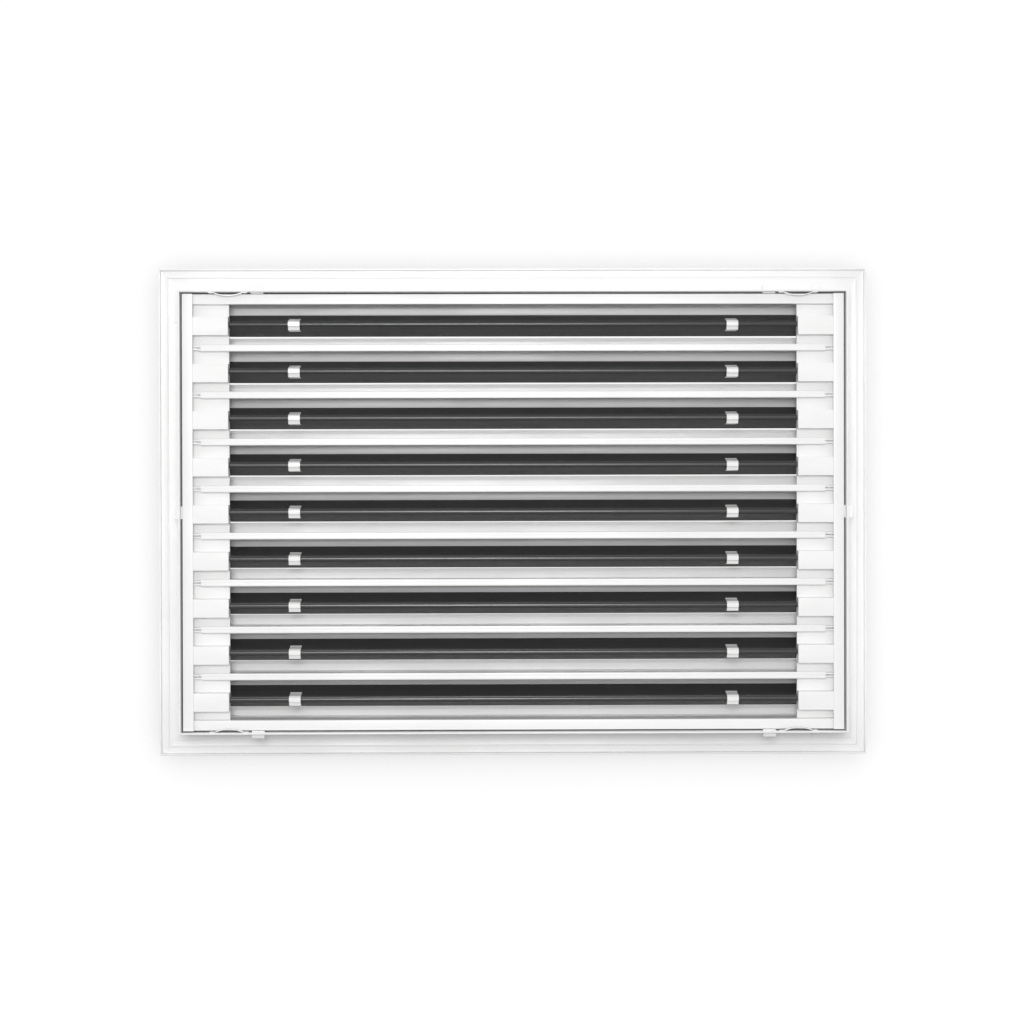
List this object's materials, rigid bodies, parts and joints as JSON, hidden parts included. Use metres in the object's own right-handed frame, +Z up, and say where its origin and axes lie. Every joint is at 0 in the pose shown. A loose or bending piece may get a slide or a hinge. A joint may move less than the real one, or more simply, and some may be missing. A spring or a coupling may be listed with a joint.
{
  "type": "louvred air grille",
  "caption": "Rectangular duct grille with a mitred flange frame, a removable slotted core and a pair of turning deflector wings in each slot.",
  "frame": {"origin": "centre of the opening, on the wall plane that the flange's lip rests on", "axes": "+X to the right seen from the duct, along the slots; +Y out of the wall into the room; +Z up"},
  "size_m": [0.64, 0.052, 0.44],
  "materials": {
    "frame_coat": "satin white powder coat",
    "core_coat": "satin white powder coat",
    "spring_steel": "white coated spring steel",
    "rivet_metal": "white coated aluminium",
    "white_plastic": "moulded white plastic",
    "clip_plastic": "glossy white plastic",
    "screw_zinc": "bright zinc plate",
    "wing_black": "extruded black plastic, satin"
  },
  "bodies": {
    "frame": {"frame_top": "frame_coat", "frame_bottom": "frame_coat", "frame_left": "frame_coat", "frame_right": "frame_coat", "corner_keys": "frame_coat", "spring_top_left": "spring_steel", "spring_top_right": "spring_steel", "spring_bottom_left": "spring_steel", "spring_bottom_right": "spring_steel", "spring_rivets": "rivet_metal", "guide_studs": "white_plastic"},
    "core": {"core_rail_top": "core_coat", "core_rail_bottom": "core_coat", "side_rail_left": "core_coat", "side_rail_right": "core_coat", "core_bar_1": "core_coat", "core_bar_2": "core_coat", "core_bar_3": "core_coat", "core_bar_4": "core_coat", "core_bar_5": "core_coat", "core_bar_6": "core_coat", "core_bar_7": "core_coat", "core_bar_8": "core_coat", "end_blocks_left": "white_plastic", "end_blocks_right": "white_plastic", "core_screws": "screw_zinc"},
    "upper_wing_1": {"upper_wing_1": "wing_black"},
    "lower_wing_1": {"lower_wing_1": "wing_black", "wing_socket_1": "wing_black", "wing_clips_1": "clip_plastic"},
    "upper_wing_2": {"upper_wing_2": "wing_black"},
    "lower_wing_2": {"lower_wing_2": "wing_black", "wing_socket_2": "wing_black", "wing_clips_2": "clip_plastic"},
    "upper_wing_3": {"upper_wing_3": "wing_black"},
    "lower_wing_3": {"lower_wing_3": "wing_black", "wing_socket_3": "wing_black", "wing_clips_3": "clip_plastic"},
    "upper_wing_4": {"upper_wing_4": "wing_black"},
    "lower_wing_4": {"lower_wing_4": "wing_black", "wing_socket_4": "wing_black", "wing_clips_4": "clip_plastic"},
    "upper_wing_5": {"upper_wing_5": "wing_black"},
    "lower_wing_5": {"lower_wing_5": "wing_black", "wing_socket_5": "wing_black", "wing_clips_5": "clip_plastic"},
    "upper_wing_6": {"upper_wing_6": "wing_black"},
    "lower_wing_6": {"lower_wing_6": "wing_black", "wing_socket_6": "wing_black", "wing_clips_6": "clip_plastic"},
    "upper_wing_7": {"upper_wing_7": "wing_black"},
    "lower_wing_7": {"lower_wing_7": "wing_black", "wing_socket_7": "wing_black", "wing_clips_7": "clip_plastic"},
    "upper_wing_8": {"upper_wing_8": "wing_black"},
    "lower_wing_8": {"lower_wing_8": "wing_black", "wing_socket_8": "wing_black", "wing_clips_8": "clip_plastic"},
    "upper_wing_9": {"upper_wing_9": "wing_black"},
    "lower_wing_9": {"lower_wing_9": "wing_black", "wing_socket_9": "wing_black", "wing_clips_9": "clip_plastic"}
  },
  "joints": [
    {"name": "core_slide", "type": "slide", "parent": "frame", "child": "core", "axis": [0, 1, 0], "range_m": [0, 0.06]},
    {"name": "upper_wing_1_turn", "type": "hinge", "parent": "core", "child": "upper_wing_1", "pos_m": [0, -0.0354, 0.16667], "axis": [-1, 0, 0], "range_deg": [0, 10]},
    {"name": "lower_wing_1_turn", "type": "hinge", "parent": "core", "child": "lower_wing_1", "pos_m": [0, -0.0354, 0.16667], "axis": [1, 0, 0], "range_deg": [0, 10]},
    {"name": "upper_wing_2_turn", "type": "hinge", "parent": "core", "child": "upper_wing_2", "pos_m": [0, -0.0354, 0.125], "axis": [-1, 0, 0], "range_deg": [0, 10]},
    {"name": "lower_wing_2_turn", "type": "hinge", "parent": "core", "child": "lower_wing_2", "pos_m": [0, -0.0354, 0.125], "axis": [1, 0, 0], "range_deg": [0, 10]},
    {"name": "upper_wing_3_turn", "type": "hinge", "parent": "core", "child": "upper_wing_3", "pos_m": [0, -0.0354, 0.08333], "axis": [-1, 0, 0], "range_deg": [0, 10]},
    {"name": "lower_wing_3_turn", "type": "hinge", "parent": "core", "child": "lower_wing_3", "pos_m": [0, -0.0354, 0.08333], "axis": [1, 0, 0], "range_deg": [0, 10]},
    {"name": "upper_wing_4_turn", "type": "hinge", "parent": "core", "child": "upper_wing_4", "pos_m": [0, -0.0354, 0.04167], "axis": [-1, 0, 0], "range_deg": [0, 10]},
    {"name": "lower_wing_4_turn", "type": "hinge", "parent": "core", "child": "lower_wing_4", "pos_m": [0, -0.0354, 0.04167], "axis": [1, 0, 0], "range_deg": [0, 10]},
    {"name": "upper_wing_5_turn", "type": "hinge", "parent": "core", "child": "upper_wing_5", "pos_m": [0, -0.0354, 0], "axis": [-1, 0, 0], "range_deg": [0, 10]},
    {"name": "lower_wing_5_turn", "type": "hinge", "parent": "core", "child": "lower_wing_5", "pos_m": [0, -0.0354, 0], "axis": [1, 0, 0], "range_deg": [0, 10]},
    {"name": "upper_wing_6_turn", "type": "hinge", "parent": "core", "child": "upper_wing_6", "pos_m": [0, -0.0354, -0.04167], "axis": [-1, 0, 0], "range_deg": [0, 10]},
    {"name": "lower_wing_6_turn", "type": "hinge", "parent": "core", "child": "lower_wing_6", "pos_m": [0, -0.0354, -0.04167], "axis": [1, 0, 0], "range_deg": [0, 10]},
    {"name": "upper_wing_7_turn", "type": "hinge", "parent": "core", "child": "upper_wing_7", "pos_m": [0, -0.0354, -0.08333], "axis": [-1, 0, 0], "range_deg": [0, 10]},
    {"name": "lower_wing_7_turn", "type": "hinge", "parent": "core", "child": "lower_wing_7", "pos_m": [0, -0.0354, -0.08333], "axis": [1, 0, 0], "range_deg": [0, 10]},
    {"name": "upper_wing_8_turn", "type": "hinge", "parent": "core", "child": "upper_wing_8", "pos_m": [0, -0.0354, -0.125], "axis": [-1, 0, 0], "range_deg": [0, 10]},
    {"name": "lower_wing_8_turn", "type": "hinge", "parent": "core", "child": "lower_wing_8", "pos_m": [0, -0.0354, -0.125], "axis": [1, 0, 0], "range_deg": [0, 10]},
    {"name": "upper_wing_9_turn", "type": "hinge", "parent": "core", "child": "upper_wing_9", "pos_m": [0, -0.0354, -0.16667], "axis": [-1, 0, 0], "range_deg": [0, 10]},
    {"name": "lower_wing_9_turn", "type": "hinge", "parent": "core", "child": "lower_wing_9", "pos_m": [0, -0.0354, -0.16667], "axis": [1, 0, 0], "range_deg": [0, 10]}
  ]
}
